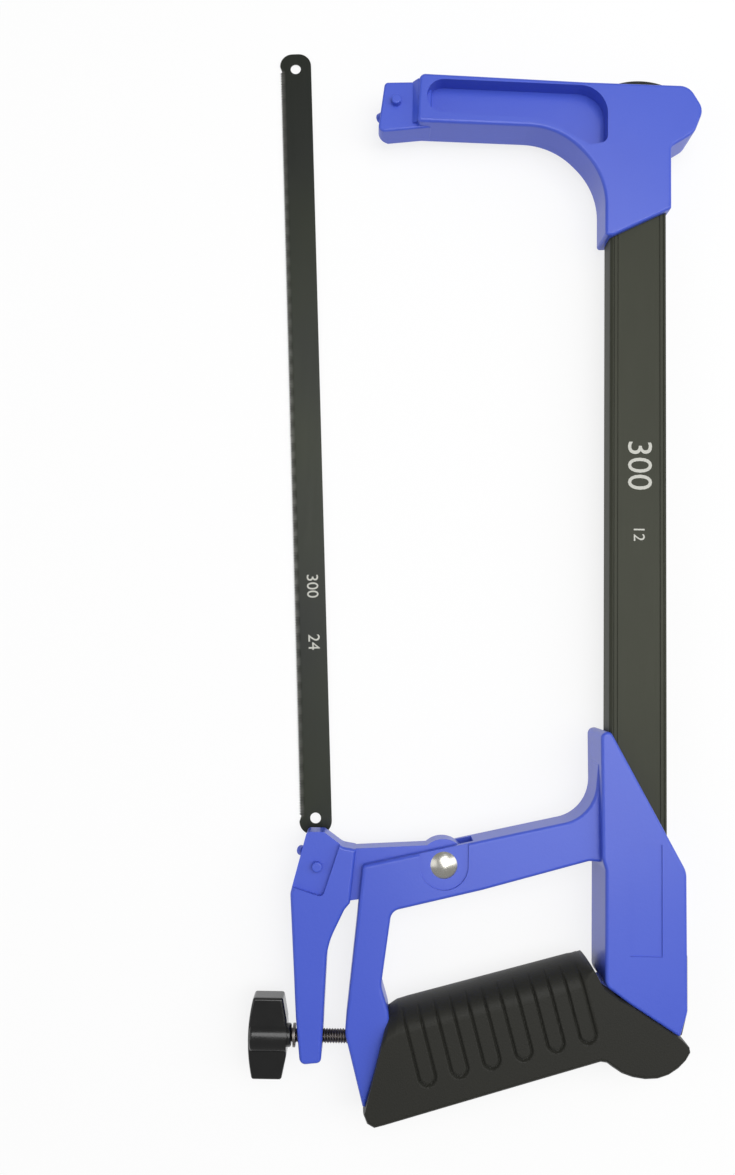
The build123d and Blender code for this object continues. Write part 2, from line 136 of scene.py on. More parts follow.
# ---- node recipes --------------------------------------------------------------------
class Wire:
    """A socket that adds its Math nodes when it is used in an expression."""

    def __init__(self, recipe, socket):
        self.recipe = recipe
        self.socket = socket

    def maths(self, operation, *values, clamp=False):
        node = self.recipe.node("ShaderNodeMath", {"operation": operation, "use_clamp": clamp}, values)
        return Wire(self.recipe, node.outputs[0])

    def __add__(self, other):
        return self.maths("ADD", self, other)

    __radd__ = __add__

    def __sub__(self, other):
        return self.maths("SUBTRACT", self, other)

    def __rsub__(self, other):
        return self.maths("SUBTRACT", other, self)

    def __mul__(self, other):
        return self.maths("MULTIPLY", self, other)

    __rmul__ = __mul__

    def clamp(self):
        return self.maths("ADD", self, 0.0, clamp=True)


class Recipe:
    """A material with one Principled shader."""

    def __init__(self, name, **constants):
        self.material = bpy.data.materials.new(name)
        self.material.use_nodes = True
        self.nodes = self.material.node_tree.nodes
        self.links = self.material.node_tree.links
        self.shader = self.nodes["Principled BSDF"]
        for socket, value in constants.items():
            self.shader.inputs[socket.replace("_", " ")].default_value = value

    def node(self, kind, settings=None, inputs=()):
        node = self.nodes.new(kind)
        for key, value in (settings or {}).items():
            if key == "stops":
                self.stops(node.color_ramp, value)
            else:
                setattr(node, key, value)
        pairs = inputs.items() if isinstance(inputs, dict) else enumerate(inputs)
        for key, value in pairs:
            self.feed(node.inputs[key], value)
        return node

    def stops(self, ramp, stops):
        while len(ramp.elements) > len(stops):
            ramp.elements.remove(ramp.elements[-1])
        while len(ramp.elements) < len(stops):
            ramp.elements.new(1.0)
        for element, (position, shade) in zip(ramp.elements, stops):
            element.position = position
            element.color = (*shade, 1.0)

    def feed(self, socket, value):
        if isinstance(value, Wire):
            self.links.new(value.socket, socket)
        else:
            socket.default_value = value

    def wire(self, node, output=0):
        return Wire(self, node.outputs[output])

    def coordinates(self):
        return self.wire(self.node("ShaderNodeTexCoord"), "Object")

    def axis(self, name):
        split = self.node("ShaderNodeSeparateXYZ", inputs=[self.coordinates()])
        return self.wire(split, name)

    def stretched(self, scale):
        mapping = self.node("ShaderNodeMapping", inputs={"Vector": self.coordinates(), "Scale": scale})
        return self.wire(mapping)

    def noise(self, scale, detail=3.0, roughness=0.55, vector=None):
        inputs = {
            "Vector": vector or self.coordinates(),
            "Scale": scale,
            "Detail": detail,
            "Roughness": roughness,
        }
        return self.wire(self.node("ShaderNodeTexNoise", inputs=inputs), "Fac")

    def cells(self, scale, vector=None):
        inputs = {"Vector": vector or self.coordinates(), "Scale": scale}
        return self.wire(self.node("ShaderNodeTexVoronoi", inputs=inputs), "Distance")

    def blend(self, factor, first, second):
        mix = self.node("ShaderNodeMix", {"data_type": "RGBA"})
        self.feed(mix.inputs["Factor"], factor)
        self.feed(mix.inputs[6], first if isinstance(first, Wire) else (*first, 1.0))
        self.feed(mix.inputs[7], second if isinstance(second, Wire) else (*second, 1.0))
        return self.wire(mix, 2)

    def bump(self, height, strength, distance_mm, under=None):
        inputs = {"Strength": strength, "Distance": distance_mm * MM, "Height": height}
        node = self.node("ShaderNodeBump", inputs=inputs)
        if under:
            self.feed(node.inputs["Normal"], under)
        return self.wire(node, "Normal")

    def paint(self, **varying):
        for socket, value in varying.items():
            self.feed(self.shader.inputs[socket.replace("_", " ")], value)
        return self.material


def lighter(shade, factor):
    return tuple(min(1.0, c * factor) for c in shade)


def cast_paint(finishes):
    """Blue powder coat: orange peel, slow colour drift and a few rubbed specks."""
    recipe = Recipe("blue_powder_coat", Coat_Roughness=0.16, Coat_IOR=1.45, Specular_IOR_Level=0.5)
    drift = recipe.noise(18.0, 2.0)
    peel = recipe.noise(900.0, 2.0, 0.5)
    fine = recipe.noise(3200.0, 2.0, 0.6)
    specks = ((recipe.noise(520.0, 4.0, 0.7) - 0.70) * 14.0).clamp()
    base = recipe.blend(drift, finishes.paint_deep, finishes.paint)
    base = recipe.blend(specks * (0.35 * finishes.wear), base, lighter(finishes.paint, 1.8))
    normal = recipe.bump(peel + fine * 0.35, 0.22, 0.12)
    return recipe.paint(
        Base_Color=base,
        Roughness=0.34 + drift * 0.10 + specks * 0.2,
        Coat_Weight=0.16 - specks * 0.12,
        Normal=normal,
    )


def anodised_tube(finishes):
    """Dark anodised extrusion: die lines run along the spine, with faint rubs."""
    recipe = Recipe("dark_anodised_spine", Specular_IOR_Level=0.3)
    lines = recipe.noise(60.0, 4.0, 0.6, recipe.stretched((60.0, 0.6, 60.0)))
    cloud = recipe.noise(22.0, 3.0)
    rubs = ((recipe.noise(8.0, 5.0, 0.7, recipe.stretched((40.0, 2.0, 40.0))) - 0.62) * 7.0).clamp()
    base = recipe.blend(cloud, finishes.tube, lighter(finishes.tube, 1.28))
    base = recipe.blend(rubs * (0.5 * finishes.wear), base, lighter(finishes.tube, 2.6))
    return recipe.paint(
        Base_Color=base,
        Metallic=0.25 + rubs * 0.2,
        Roughness=0.46 + lines * 0.14,
        Normal=recipe.bump(lines, 0.18, 0.05),
    )


def moulded_rubber(finishes, name="black_rubber", grain=1500.0):
    """Soft black rubber: fine pebbled grain, dusty high spots."""
    recipe = Recipe(name, Specular_IOR_Level=0.3, Sheen_Weight=0.06, Sheen_Roughness=0.5)
    pebble = recipe.cells(grain)
    dust = recipe.noise(55.0, 5.0, 0.65)
    base = recipe.blend(dust, finishes.rubber, lighter(finishes.rubber, 1.55))
    return recipe.paint(
        Base_Color=base,
        Roughness=0.50 + dust * 0.16,
        Normal=recipe.bump(pebble, 0.30, 0.09, recipe.bump(dust, 0.15, 0.2)),
    )


def plated_zinc(finishes):
    """Bright zinc: faint yellow bloom and turning marks."""
    recipe = Recipe("bright_zinc", Metallic=1.0)
    bloom = recipe.noise(420.0, 4.0, 0.6)
    marks = recipe.noise(2600.0, 2.0, 0.5)
    base = recipe.blend(bloom, finishes.zinc, (0.74, 0.73, 0.70))
    return recipe.paint(
        Base_Color=base,
        Roughness=0.16 + bloom * 0.22,
        Normal=recipe.bump(marks, 0.10, 0.03),
    )


def oiled_steel(finishes):
    """Dark oiled steel: blotches of oil over a mill finish."""
    recipe = Recipe("oiled_dark_steel", Metallic=1.0)
    oil = recipe.noise(260.0, 4.0, 0.6)
    scratches = recipe.noise(900.0, 3.0, 0.6, recipe.stretched((0.2, 4.0, 4.0)))
    base = recipe.blend(oil, finishes.dark_steel, lighter(finishes.dark_steel, 2.4))
    return recipe.paint(
        Base_Color=base,
        Roughness=0.24 + oil * 0.25,
        Normal=recipe.bump(scratches, 0.12, 0.03),
    )


def glossy_knob(finishes):
    """Glossy black moulding with soft sink marks and light handling haze."""
    recipe = Recipe("glossy_black_moulding", Coat_Weight=0.2, Coat_Roughness=0.06)
    haze = recipe.noise(140.0, 4.0, 0.6)
    base = recipe.blend(haze, finishes.knob, lighter(finishes.knob, 2.0))
    return recipe.paint(
        Base_Color=base,
        Roughness=0.14 + haze * 0.12,
        Normal=recipe.bump(recipe.noise(90.0, 2.0), 0.10, 0.4),
    )


def grey_moulding():
    """Matt grey moulding, for the plugs inside the spine."""
    recipe = Recipe("grey_moulding")
    speckle = recipe.noise(700.0, 3.0)
    return recipe.paint(
        Base_Color=recipe.blend(speckle, (0.05, 0.05, 0.05), (0.08, 0.08, 0.08)),
        Roughness=0.55 + speckle * 0.1,
        Normal=recipe.bump(speckle, 0.1, 0.05),
    )


def turned_brass():
    """Turned brass with oil stains, for the bush in the lever's eye."""
    recipe = Recipe("turned_bush", Metallic=1.0)
    stain = recipe.noise(500.0, 4.0)
    return recipe.paint(
        Base_Color=recipe.blend(stain, (0.50, 0.36, 0.16), (0.24, 0.17, 0.09)),
        Roughness=0.28 + stain * 0.2,
        Normal=recipe.bump(stain, 0.1, 0.03),
    )


def lacquered_blade(finishes):
    """Dark lacquer with a greenish bloom up the blade; bare bright steel along the teeth."""
    recipe = Recipe("lacquered_blade", Specular_IOR_Level=0.3)
    bare = recipe.wire(recipe.node("ShaderNodeAttribute", {"attribute_name": "bare_steel"}), "Fac")
    along = recipe.noise(9.0, 2.0, 0.5)
    streaks = recipe.noise(40.0, 4.0, 0.6, recipe.stretched((24.0, 0.8, 1.0)))
    bloom = ((along - 0.42) * 3.0).clamp()
    lacquer = recipe.blend(bloom, finishes.blade, finishes.blade_tint)
    lacquer = recipe.blend(streaks * 0.35, lacquer, lighter(finishes.blade, 2.0))
    worn = (bare * (0.55 + recipe.noise(700.0, 3.0) * 0.8)).clamp()
    base = recipe.blend(worn, lacquer, finishes.tooth)
    return recipe.paint(
        Base_Color=base,
        Metallic=0.1 + worn * 0.5,
        Roughness=0.30 + streaks * 0.16,
        Normal=recipe.bump(streaks, 0.10, 0.03),
    )


def plain_marks(finishes):
    """Pad-printed marks, slightly broken where the ink is thin."""
    recipe = Recipe("pale_marks", Specular_IOR_Level=0.3)
    thin = recipe.noise(1600.0, 4.0, 0.7)
    broken = ((thin - 0.5) * 4.0).clamp()
    base = recipe.blend(broken, finishes.print_white, lighter(finishes.print_white, 0.75))
    return recipe.paint(Base_Color=base, Roughness=0.5 + thin * 0.1)


# ---- mesh helpers --------------------------------------------------------------------
CREASE = 30.0                 # degrees past which an edge stays sharp


def grid_faces(rows, columns, wrap_rows=False, wrap_columns=False):
    """Quads of a grid of rows by columns, closed round either way."""
    row = np.arange(rows if wrap_rows else rows - 1)
    column = np.arange(columns if wrap_columns else columns - 1)
    r, c = np.meshgrid(row, column, indexing="ij")
    r2 = (r + 1) % rows
    c2 = (c + 1) % columns
    corners = [r * columns + c, r2 * columns + c, r2 * columns + c2, r * columns + c2]
    return np.stack(corners, -1).reshape(-1, 4)


def new_piece(name, points, faces, material, body, replaced=(), bare=None):
    """Mesh object from points (row frame, metres) and faces, riding on a body.

    bare gives each point's share of bare steel, from 0 to 1, and keeps the piece's faces flat.
    """
    mesh = bpy.data.meshes.new(name)
    mesh.from_pydata(points.tolist(), [], [list(face) for face in faces])
    mesh.update()
    piece = bpy.data.objects.new(name, mesh)
    bpy.context.scene.collection.objects.link(piece)
    if bare is not None:
        mesh.attributes.new("bare_steel", "FLOAT", "POINT").data.foreach_set("value", bare)
    clean(mesh)
    mesh.materials.append(material)
    if bare is None:
        mesh.shade_smooth()
        mesh.set_sharp_from_angle(angle=radians(CREASE))
    else:
        mesh.shade_flat()
    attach(piece, body)
    if replaced:
        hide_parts(*replaced)
    return piece


def clean(mesh):
    """Merges doubles, drops faces with no area and turns the normals outwards."""
    shell = bmesh.new()
    shell.from_mesh(mesh)
    bmesh.ops.remove_doubles(shell, verts=shell.verts, dist=1e-6)
    bmesh.ops.dissolve_degenerate(shell, edges=shell.edges, dist=1e-7)
    bmesh.ops.recalc_face_normals(shell, faces=shell.faces)
    shell.to_mesh(mesh)
    shell.free()


def along(path, fractions):
    """Points at fractions of a polyline's length."""
    path = np.asarray(path, float)
    steps = np.linalg.norm(np.diff(path, axis=0), axis=1)
    distance = np.concatenate([[0.0], np.cumsum(steps)])
    wanted = np.asarray(fractions) * distance[-1]
    return np.stack([np.interp(wanted, distance, path[:, i]) for i in range(path.shape[1])], -1)


def settings():
    return bpy.context.scene.hacksaw_finishes


# ---- grip ----------------------------------------------------------------------------
GRIP_SLOPE = radians(15.3)
BORE_ROOM = 0.4               # clearance round the screw
BORE_SIDES = 32
SCREW_TRAVEL = 9.0            # the screw's feed and a little more
BODY_STATIONS = 370           # grid lines over the ribbed body
TAIL_STATIONS = 90            # and over the lobe behind it
ROUND_PALM, ROUND_FACE, ROUND_BELLY = 18, 72, 12    # grid points round the grip's section
MOST_ROUND = 0.45             # most of a station's length that one rounding takes up
SEAM_ROUND = 0.7              # rounding of the lobe's edge against the post
FIRST_RIB = -94.2             # middle of the first rib, along the grip
RIB_FOOT = -50.6              # where a rib's round foot starts, across the grip
FAR_SIDE = 0.97               # the far side is a little flatter, flush with the post
PALM_LINE = [(-92.3, -56.6), (-91.0, -53.6), (-88.0, -51.5), (-84.0, -50.2), (-24.6, -33.7)]
BELLY_LINE = [(-100.3, -89.6), (-99.0, -92.6), (-96.4, -94.0), (-93.0, -93.1), (-14.6, -69.5)]
SEAM_LINE = [
    (-24.6, -33.7), (-21.0, -33.3), (-18.2, -34.2), (-14.2, -41.6), (-9.0, -45.3), (-4.6, -47.5),
    (13.5, -59.1),
]
LOBE_LINE = [
    (-14.6, -69.5), (-12.4, -69.8), (-10.2, -71.4), (-7.0, -73.4), (-3.0, -74.7), (1.5, -75.3),
    (6.0, -75.0), (10.0, -73.6), (13.6, -71.2), (16.4, -68.4), (18.3, -65.4), (18.0, -63.6),
]


class HACKSAW_OT_grip(bpy.types.Operator):
    """Moulds the rubber grip with its finger grooves and rear lobe"""

    bl_idname = "hacksaw.grip"
    bl_label = "Rubber grip"

    def execute(self, context):
        sizes = context.scene.hacksaw_grip
        points = grip_surface(sizes)
        rows, columns = points.shape[:2]
        flat = points.reshape(-1, 3)
        faces = [tuple(face) for face in grid_faces(rows, columns, wrap_columns=True)]
        for row, order in ((0, 1), (rows - 1, -1)):
            ring = [row * columns + c for c in range(columns)]
            for c in range(columns // 2 - 1):
                across = (ring[c], ring[c + 1], ring[columns - 2 - c], ring[columns - 1 - c])
                faces.append(across[::order])
        rubber = moulded_rubber(settings())
        grip = new_piece(
            "ribbed_grip", place(flat), faces, rubber, "frame", ["grip_sleeve"]
        )
        bore_for_screw(grip)
        return {"FINISHED"}


def bore_for_screw(grip):
    """Takes out of the grip the blind bore that the screw's tip feeds into when tightened.

    The cutter is a cylinder along x: (x, cy + r cos a, cz + r sin a).
    """
    low, high = (np.array(corner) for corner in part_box("tension_screw"))
    centre = (low + high) / 2
    radius = (high[2] - low[2]) / 2 + BORE_ROOM * MM
    angle = np.linspace(0, 2 * pi, BORE_SIDES, endpoint=False)
    y = centre[1] + radius * np.cos(angle)
    z = centre[2] + radius * np.sin(angle)
    ring = np.stack([0 * angle, y, z], -1)
    ends = [ring + np.array([x, 0.0, 0.0]) for x in (centre[0], high[0] + SCREW_TRAVEL * MM)]
    faces = grid_faces(2, BORE_SIDES, wrap_columns=True).tolist()
    faces += [list(range(BORE_SIDES)), list(range(2 * BORE_SIDES - 1, BORE_SIDES - 1, -1))]
    mesh = bpy.data.meshes.new("screw_bore")
    mesh.from_pydata(np.concatenate(ends).tolist(), [], faces)
    clean(mesh)
    cutter = bpy.data.objects.new("screw_bore", mesh)
    bpy.context.scene.collection.objects.link(cutter)
    cut = grip.modifiers.new("screw_bore", "BOOLEAN")
    cut.operation = "DIFFERENCE"
    cut.solver = "EXACT"
    cut.object = cutter
    seen = grip.evaluated_get(bpy.context.evaluated_depsgraph_get())
    bored = bpy.data.meshes.new_from_object(seen)
    grip.modifiers.clear()
    grip.data = bored
    bpy.data.objects.remove(cutter)


def grip_surface(sizes):
    """Grid over stations u along the grip and v round it.

    Each station is a straight line from the palm line to the belly line, L long. At a
    distance b from its upper end the half thickness is a quarter ellipse of depth
    palm_round at the upper end, a quarter ellipse of depth belly_round at the lower end,
    and flat between. Grooves take g = depth * (1 - (d / width)^2)^2 off, where d is the
    distance to the U shaped line round the nearest rib.
    """
    body = np.linspace(0.0, 1.0, BODY_STATIONS)
    tail = np.linspace(0.0, 1.0, TAIL_STATIONS)[1:]
    upper = np.concatenate([along(PALM_LINE, body), along(SEAM_LINE, tail)])
    lower = np.concatenate([along(BELLY_LINE, body), along(LOBE_LINE, tail)])
    span = lower - upper
    size = np.linalg.norm(span, axis=1)
    way = span / size[:, None]
    half = sizes.half_thickness / MM
    fade = np.concatenate([np.zeros(BODY_STATIONS), np.clip(tail * 6.0, 0, 1)])
    fade = fade * fade * (3 - 2 * fade)
    palm = (sizes.palm_round / MM) * (1 - fade) + SEAM_ROUND * fade
    palm = np.minimum(palm, size * MOST_ROUND)
    belly = np.minimum(sizes.belly_round / MM, size * MOST_ROUND)

    turn_up = np.linspace(0.0, pi / 2, ROUND_PALM)
    middle = np.linspace(0.0, 1.0, ROUND_FACE)[1:-1]
    turn_down = np.linspace(pi / 2, 0.0, ROUND_BELLY)
    ones = np.ones_like(size)[:, None]
    lift = np.concatenate([np.sin(turn_up), np.ones_like(middle), np.sin(turn_down)])[None, :] * ones
    pull_top = np.concatenate([np.cos(turn_up), np.zeros(len(middle) + len(turn_down))])[None, :]
    pull_bottom = np.concatenate([np.zeros(len(turn_up) + len(middle)), np.cos(turn_down)])[None, :]
    flat = np.concatenate([np.zeros(len(turn_up)), middle, np.ones(len(turn_down))])[None, :]
    top_edge = palm[:, None]
    bottom_edge = (size - belly)[:, None]
    reach = top_edge + (bottom_edge - top_edge) * flat
    distance = reach - palm[:, None] * pull_top + belly[:, None] * pull_bottom
    x = upper[:, :1] + way[:, :1] * distance
    y = upper[:, 1:] + way[:, 1:] * distance
    cut = groove_cut(x, y, sizes) * (1 - fade[:, None]) * np.clip(2.5 * lift - 1.2, 0, 1)
    x = x + way[:, :1] * cut * pull_top
    y = y + way[:, 1:] * cut * pull_top
    z = (half - cut) * lift
    near = np.stack([x, y, z], -1)
    far = np.stack([x, y, -z * FAR_SIDE], -1)[:, -2:0:-1]
    return np.concatenate([near, far], axis=1)


def groove_cut(x, y, sizes):
    """Depth taken off by the nearest groove at each point of the grip."""
    lengthwise = x * cos(GRIP_SLOPE) + y * sin(GRIP_SLOPE)
    across = -x * sin(GRIP_SLOPE) + y * cos(GRIP_SLOPE)
    pitch = 2 * sizes.groove_pitch / MM
    index = np.clip(np.round((lengthwise - FIRST_RIB) / pitch), 0, sizes.rib_count - 1)
    side = lengthwise - (FIRST_RIB + index * pitch)
    below = np.minimum(across - RIB_FOOT, 0.0)
    away = (np.hypot(side, below) - pitch / 4) / (sizes.groove_width / MM)
    return (sizes.groove_depth / MM) * np.clip(1 - away ** 2, 0, 1) ** 2


# ---- blade ---------------------------------------------------------------------------
class HACKSAW_OT_blade(bpy.types.Operator):
    """Cuts the loose blade with its two holes and wavy-set teeth"""

    bl_idname = "hacksaw.blade"
    bl_label = "Loose blade"

    def execute(self, context):
        sizes = context.scene.hacksaw_blade
        outline, toothed = blade_outline(sizes)
        points, faces, bare = blade_mesh(outline, toothed, sizes)
        lacquer = lacquered_blade(settings())
        new_piece(
            "toothed_blade", points, faces, lacquer, "loose_blade", ["blade"], bare
        )
        return {"FINISHED"}


BLADE_TILT = radians(2.67)
BLADE_HALF = 156.2            # half length
BLADE_WIDTH = 12.5
BLADE_CORNER = 5.0
HOLE_FROM_MIDDLE = 150.0
HOLE_RADIUS = 2.1
TOOTHED_BAND = 2.2            # from the tips to the line where the blade is at full thickness
THINNED = 0.55                # share of the thickness left at the tips
CORNER_POINTS = 12
MIDDLE_POINTS = 6             # on the line where the two halves of the blade meet
GULLET = 0.72                 # share of a tooth's length from its tip to its gullet


def blade_place():
    """Centre of the blade and its unit vectors along and across, in the row frame."""
    low, high = (np.array(corner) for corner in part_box("blade"))
    lengthwise = np.array([-sin(BLADE_TILT), cos(BLADE_TILT), 0.0])
    across = np.array([cos(BLADE_TILT), sin(BLADE_TILT), 0.0])
    return (low + high) / 2, lengthwise, across, (high - low)[2] / MM


def blade_outline(sizes):
    """Half of the blade's outline, from its middle round one end and back to its middle.

    The left side carries the teeth: the edge is a saw wave of the distance along the
    blade, its tips on the blade's full width. Corners are quarter circles.
    """
    edge = BLADE_WIDTH / 2
    pitch = 25.4 / sizes.teeth_per_inch
    depth = sizes.tooth_depth / MM
    teeth = int((BLADE_HALF - BLADE_CORNER - 1.0) / pitch)
    starts = np.arange(teeth) * pitch
    left_y = np.stack([starts, starts + pitch * GULLET], -1).ravel()
    left_x = np.stack([np.full(teeth, -edge), np.full(teeth, -edge + depth)], -1).ravel()
    left = np.stack([left_x, left_y], -1)
    turn = np.linspace(0, pi / 2, CORNER_POINTS)
    inset = BLADE_CORNER * (1 - np.cos(turn))
    rise = BLADE_CORNER * (1 - np.sin(turn))
    corner_left = np.stack([-edge + inset, BLADE_HALF - rise], -1)
    corner_right = np.stack([edge - inset, BLADE_HALF - rise], -1)[::-1]
    right_y = np.linspace(BLADE_HALF - BLADE_CORNER, 0.0, 60)[1:]
    right = np.stack([np.full(len(right_y), edge), right_y], -1)
    middle_x = np.linspace(edge, -edge + TOOTHED_BAND, MIDDLE_POINTS + 2)[1:-1]
    middle = np.stack([middle_x, np.zeros(MIDDLE_POINTS)], -1)
    outline = np.concatenate([left, corner_left, corner_right, right, middle])
    toothed = np.concatenate([np.ones(len(left)), np.zeros(len(outline) - len(left))])
    return outline, toothed


def blade_mesh(outline, toothed, sizes):
    """Rings from a hole's edge out to the outline, on both faces of both halves.

    Where the teeth are, the outline's ring is thinned to a share of the thickness and
    leans sideways by set * sin(2 pi y / wave).
    """
    centre, lengthwise, across, thick = blade_place()
    band = outline.copy()
    band[toothed > 0, 0] = -BLADE_WIDTH / 2 + TOOTHED_BAND
    offset = band - np.array([0.0, HOLE_FROM_MIDDLE])
    angle = np.arctan2(offset[:, 1], offset[:, 0])
    round_hole = HOLE_RADIUS * np.stack([np.cos(angle), np.sin(angle)], -1)
    hole = round_hole + np.array([0.0, HOLE_FROM_MIDDLE])
    lean = toothed * np.sin(2 * pi * outline[:, 1] / (sizes.set_wave / MM)) * sizes.set_width / MM
    layers = []
    for flip in (1, -1):
        for face in (1, -1):
            flat = np.full(len(outline), face * thick / 2)
            tip = np.clip(flat * (1 - (1 - THINNED) * toothed) + lean, -thick / 2, thick / 2)
            for row, height in ((hole, flat), (band, flat), (outline, tip)):
                layers.append(np.stack([row[:, 0], flip * row[:, 1], height], -1))
    stack = np.concatenate(layers) * MM
    points = centre + stack[:, :1] * across + stack[:, 1:2] * lengthwise
    points[:, 2] += stack[:, 2]
    bare = np.tile(np.concatenate([0 * toothed, 0 * toothed, toothed]), 4)
    return points, blade_faces(len(outline)), bare


def blade_faces(count):
    """Both faces, the hole's wall and the outer rim of each half; the halves meet in the middle."""
    column = np.arange(count)
    following = (column + 1) % count
    faces = []
    for half in range(2):
        near = half * 6 * count
        far = near + 3 * count
        faces.append(grid_faces(3, count, wrap_columns=True) + near)
        faces.append(grid_faces(3, count, wrap_columns=True)[:, ::-1] + far)
        faces.append(np.stack([near + column, near + following, far + following, far + column], -1))
        deep = far - near
        rim = np.stack([column, following, following + deep, column + deep], -1)
        faces.append((rim + near + 2 * count)[:-1 - MIDDLE_POINTS])
    return np.concatenate(faces).tolist()


# ---- tension screw -------------------------------------------------------------------
class HACKSAW_OT_screw(bpy.types.Operator):
    """Rolls the thread of the tension screw"""

    bl_idname = "hacksaw.screw"
    bl_label = "Tension screw"

    def execute(self, context):
        points, faces = thread_surface(context.scene.hacksaw_screw)
        steel = oiled_steel(settings())
        new_piece(
            "threaded_screw", points, faces, steel, "knob", ["tension_screw"]
        )
        return {"FINISHED"}


STEPS_A_PITCH = 8
ROUND_THE_SCREW = 40
CREST = 1.25                  # above 1, the thread's crests are flat
TIP_SHARE = 0.80              # share of the radius left at the tip
TIP_TAPER = 1.2


def thread_surface(sizes):
    """Grid of x along the screw and angle round it.

    radius = outer - depth * (1 - ridge). The ridge is CREST * (1 - |2 f - 1|), at most 1,
    with f the fraction of a pitch at (x, angle). The last TIP_TAPER millimetres narrow
    evenly to TIP_SHARE of the radius.
    """
    low, high = (np.array(corner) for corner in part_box("tension_screw"))
    outer = (high[2] - low[2]) / 2
    centre = (low + high) / 2
    x = np.arange(low[0], high[0], sizes.pitch / STEPS_A_PITCH)
    x = np.append(x, high[0])
    angle = np.linspace(0, 2 * pi, ROUND_THE_SCREW, endpoint=False)
    xx, aa = np.meshgrid(x, angle, indexing="ij")
    fraction = np.mod(xx / sizes.pitch - aa / (2 * pi), 1.0)
    ridge = np.clip(CREST * (1 - np.abs(2 * fraction - 1)), 0, 1)
    radius = outer - sizes.thread_depth * (1 - ridge)
    ends = np.clip((high[0] - xx) / (TIP_TAPER * MM), 0.0, 1.0)
    radius = radius * (TIP_SHARE + (1 - TIP_SHARE) * ends)
    grid = np.stack([xx, centre[1] + radius * np.cos(aa), centre[2] + radius * np.sin(aa)], -1)
    rows, columns = grid.shape[:2]
    points = grid.reshape(-1, 3)
    faces = grid_faces(rows, columns, wrap_columns=True).tolist()
    for row, x_end in ((0, low[0]), (rows - 1, high[0])):
        points = np.vstack([points, [[x_end, centre[1], centre[2]]]])
        hub = len(points) - 1
        for c in range(columns):
            faces.append((row * columns + c, row * columns + (c + 1) % columns, hub))
    return points, faces


# ---- size marks ----------------------------------------------------------------------
SPINE_TURN = -90
BLADE_TURN = -87.33           # degrees, along the tilted blade
MARK_HALF = 0.015             # half the marks' thickness
# Name, figures, height, and place along the spine or from the blade's middle.
SPINE_MARKS = (("spine_mark_300", "300", 13.0, 150), ("spine_mark_12", "12", 6.0, 124))
BLADE_MARKS = (("blade_mark_300", "300", 6.4, -60.0), ("blade_mark_24", "24", 6.4, -82.0))


class HACKSAW_OT_marks(bpy.types.Operator):
    """Prints plain size numbers on the spine and the blade"""

    bl_idname = "hacksaw.marks"
    bl_label = "Size marks"

    def execute(self, context):
        ink = plain_marks(settings())
        for name, words, height, shift in SPINE_MARKS:
            at = (ORIGIN[0], ORIGIN[1] + shift * MM, TUBE_HIGH.z)
            number(name, words, height, at, SPINE_TURN, ink, "frame")
        centre, lengthwise, across, thick = blade_place()
        for name, words, height, shift in BLADE_MARKS:
            at = centre + (lengthwise * shift + across) * MM
            at[2] = centre[2] + thick * MM / 2
            number(name, words, height, at, BLADE_TURN, ink, "loose_blade")
        return {"FINISHED"}


def number(name, words, height, at, turn, ink, body):
    """Flat printed number, 0.03 mm thick, centred on a point."""
    curve = bpy.data.curves.new(name, "FONT")
    curve.body = words
    curve.size = height * MM
    curve.align_x = "CENTER"
    curve.align_y = "CENTER"
    curve.extrude = MARK_HALF * MM
    curve.resolution_u = 4
    holder = bpy.data.objects.new(name + "_text", curve)
    bpy.context.scene.collection.objects.link(holder)
    bpy.context.view_layer.update()
    mesh = bpy.data.meshes.new_from_object(holder)
    bpy.data.objects.remove(holder)
    mesh.name = name
    mesh.transform(Matrix.Translation(Vector(at)) @ Matrix.Rotation(radians(turn), 4, "Z"))
    clean(mesh)
    mesh.materials.clear()
    mesh.materials.append(ink)
    piece = bpy.data.objects.new(name, mesh)
    bpy.context.scene.collection.objects.link(piece)
    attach(piece, body)


# ---- finishes of the machined and cast pieces ----------------------------------------
class HACKSAW_OT_finishes(bpy.types.Operator):
    """Gives every machined, cast and moulded piece its finish"""

    bl_idname = "hacksaw.finishes"
    bl_label = "Finishes"

    def execute(self, context):
        finishes = settings()
        paint = cast_paint(finishes)
        rubber = moulded_rubber(finishes, "black_rubber_trim", 1900.0)
        zinc = plated_zinc(finishes)
        steel = oiled_steel(finishes)
        chosen = {
            "front_arm": paint,
            "handle_casting": paint,
            "tension_lever": paint,
            "front_pin_90": paint,
            "front_pin_45": paint,
            "rear_pin_90": paint,
            "rear_pin_45": paint,
            "spine_tube": anodised_tube(finishes),
            "front_thumb_pad": rubber,
            "back_strap": rubber,
            "grip_sleeve": rubber,
            "wing_knob": glossy_knob(finishes),
            "front_tube_plug": grey_moulding(),
            "lever_bush": turned_brass(),
            "captive_nut": steel,
            "thrust_washer": steel,
            "tension_screw": steel,
            "blade": steel,
        }
        chosen["rear_tube_plug"] = chosen["front_tube_plug"]
        for name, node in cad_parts.items():
            node.data.materials.clear()
            node.data.materials.append(chosen.get(name, zinc))
        return {"FINISHED"}


# ---- studio --------------------------------------------------------------------------
class HACKSAW_OT_stage(bpy.types.Operator):
    """Lays the floor, hangs the lamps and sets the camera"""

    bl_idname = "hacksaw.stage"
    bl_label = "Studio"

    def execute(self, context):
        floor_plane()
        lamps()
        camera()
        context.scene.view_settings.view_transform = "Standard"
        return {"FINISHED"}


